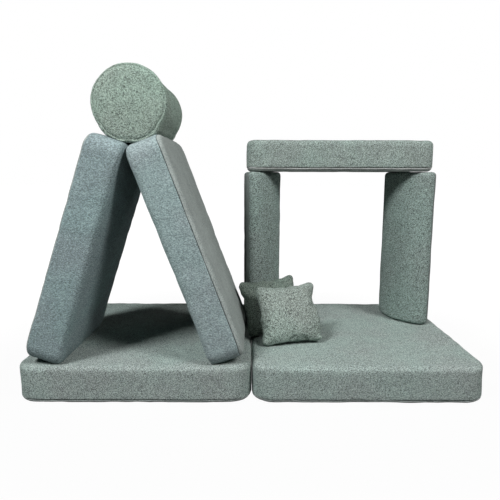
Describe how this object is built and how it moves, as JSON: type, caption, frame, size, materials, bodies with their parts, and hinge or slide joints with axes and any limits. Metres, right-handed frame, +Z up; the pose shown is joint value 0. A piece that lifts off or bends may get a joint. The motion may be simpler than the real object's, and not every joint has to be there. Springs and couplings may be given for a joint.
{
  "type": "modular foam play sofa",
  "caption": "Modular foam play sofa set up as a playhouse: base mats, a tent of leaning cushions with a roll on top, a doorway of half rounds under a lintel cushion, and pillows.",
  "frame": {"origin": "on the floor, under the middle of the two base mats", "axes": "+Z up, +X to the viewer's right along the two mats, +Y away from the viewer"},
  "size_m": [1.6802, 0.84, 1.1705],
  "materials": {
    "boucle": "looped boucle, matt",
    "smooth_fabric": "smooth woven, matt",
    "foam": "open-cell foam",
    "zip_tape": "woven tape with a closed coil",
    "zip_slider": "matt"
  },
  "bodies": {
    "base_mat_left": {"base_mat_left_core": "foam", "base_mat_left_cover": "boucle", "base_mat_left_base": "smooth_fabric", "base_mat_left_zip": "zip_tape"},
    "base_mat_left_zip_slider": {"base_mat_left_slider": "zip_slider"},
    "base_mat_right": {"base_mat_right_core": "foam", "base_mat_right_cover": "boucle", "base_mat_right_base": "smooth_fabric", "base_mat_right_zip": "zip_tape"},
    "base_mat_right_zip_slider": {"base_mat_right_slider": "zip_slider"},
    "tent_cushion_left": {"tent_cushion_left_core": "foam", "tent_cushion_left_cover": "boucle", "tent_cushion_left_base": "smooth_fabric", "tent_cushion_left_zip": "zip_tape"},
    "tent_cushion_left_zip_slider": {"tent_cushion_left_slider": "zip_slider"},
    "tent_cushion_right": {"tent_cushion_right_core": "foam", "tent_cushion_right_cover": "boucle", "tent_cushion_right_base": "smooth_fabric", "tent_cushion_right_zip": "zip_tape"},
    "tent_cushion_right_zip_slider": {"tent_cushion_right_slider": "zip_slider"},
    "lintel_cushion": {"lintel_cushion_core": "foam", "lintel_cushion_cover": "boucle", "lintel_cushion_base": "smooth_fabric", "lintel_cushion_zip": "zip_tape"},
    "lintel_cushion_zip_slider": {"lintel_cushion_slider": "zip_slider"},
    "half_round_left": {"half_round_left_core": "foam", "half_round_left_cover": "boucle", "half_round_left_base": "smooth_fabric", "half_round_left_zip": "zip_tape"},
    "half_round_left_zip_slider": {"half_round_left_slider": "zip_slider"},
    "half_round_right": {"half_round_right_core": "foam", "half_round_right_cover": "boucle", "half_round_right_base": "smooth_fabric", "half_round_right_zip": "zip_tape"},
    "half_round_right_zip_slider": {"half_round_right_slider": "zip_slider"},
    "roll": {"roll_core": "foam", "roll_cover": "boucle", "roll_zip": "zip_tape"},
    "roll_zip_slider": {"roll_slider": "zip_slider"},
    "pillow_front": {"pillow_front_fill": "foam", "pillow_front_cover": "boucle", "pillow_front_zip": "zip_tape"},
    "pillow_front_zip_slider": {"pillow_front_slider": "zip_slider"},
    "pillow_rear": {"pillow_rear_fill": "foam", "pillow_rear_cover": "boucle", "pillow_rear_zip": "zip_tape"},
    "pillow_rear_zip_slider": {"pillow_rear_slider": "zip_slider"}
  },
  "joints": [
    {"name": "base_mat_right_slide", "type": "slide", "parent": "base_mat_left", "child": "base_mat_right", "axis": [1, 0, 0], "range_m": [0, 0.6]},
    {"name": "tent_cushion_left_slide", "type": "slide", "parent": "base_mat_left", "child": "tent_cushion_left", "axis": [0, -1, 0], "range_m": [0, 0.54]},
    {"name": "tent_cushion_right_slide", "type": "slide", "parent": "base_mat_left", "child": "tent_cushion_right", "axis": [0, -1, 0], "range_m": [0, 0.54]},
    {"name": "roll_lift", "type": "slide", "parent": "base_mat_left", "child": "roll", "axis": [0, 0, 1], "range_m": [0, 0.3]},
    {"name": "half_round_left_slide", "type": "slide", "parent": "base_mat_right", "child": "half_round_left", "axis": [0, 1, 0], "range_m": [0, 0.38]},
    {"name": "half_round_right_slide", "type": "slide", "parent": "base_mat_right", "child": "half_round_right", "axis": [0, 1, 0], "range_m": [0, 0.38]},
    {"name": "lintel_cushion_lift", "type": "slide", "parent": "base_mat_right", "child": "lintel_cushion", "axis": [0, 0, 1], "range_m": [0, 0.25]},
    {"name": "pillow_rear_lift", "type": "slide", "parent": "base_mat_right", "child": "pillow_rear", "axis": [0, 0, 1], "range_m": [0, 0.28]},
    {"name": "pillow_front_lift", "type": "slide", "parent": "pillow_rear", "child": "pillow_front", "axis": [0, 0, 1], "range_m": [0, 0.28]},
    {"name": "base_mat_left_zip", "type": "slide", "parent": "base_mat_left", "child": "base_mat_left_zip_slider", "axis": [-1, 0, 0], "range_m": [0, 0.6184]},
    {"name": "base_mat_right_zip", "type": "slide", "parent": "base_mat_right", "child": "base_mat_right_zip_slider", "axis": [-1, 0, 0], "range_m": [0, 0.6184]},
    {"name": "tent_cushion_left_zip", "type": "slide", "parent": "tent_cushion_left", "child": "tent_cushion_left_zip_slider", "axis": [0.3223, 0, 0.9466], "range_m": [0, 0.5784]},
    {"name": "tent_cushion_right_zip", "type": "slide", "parent": "tent_cushion_right", "child": "tent_cushion_right_zip_slider", "axis": [0.3486, 0, -0.9373], "range_m": [0, 0.5784]},
    {"name": "lintel_cushion_zip", "type": "slide", "parent": "lintel_cushion", "child": "lintel_cushion_zip_slider", "axis": [-1, 0, 0], "range_m": [0, 0.5784]},
    {"name": "half_round_left_zip", "type": "slide", "parent": "half_round_left", "child": "half_round_left_zip_slider", "axis": [0, 0, -1], "range_m": [0, 0.4584]},
    {"name": "half_round_right_zip", "type": "slide", "parent": "half_round_right", "child": "half_round_right_zip_slider", "axis": [0, 0, -1], "range_m": [0, 0.4584]},
    {"name": "roll_zip", "type": "slide", "parent": "roll", "child": "roll_zip_slider", "axis": [0, -1, 0], "range_m": [0, 0.2284]},
    {"name": "pillow_front_zip", "type": "slide", "parent": "pillow_front", "child": "pillow_front_zip_slider", "axis": [-0.9789, -0.1992, -0.0453], "range_m": [0, 0.1364]},
    {"name": "pillow_rear_zip", "type": "slide", "parent": "pillow_rear", "child": "pillow_rear_zip_slider", "axis": [-0.9686, -0.2283, -0.098], "range_m": [0, 0.1364]}
  ]
}
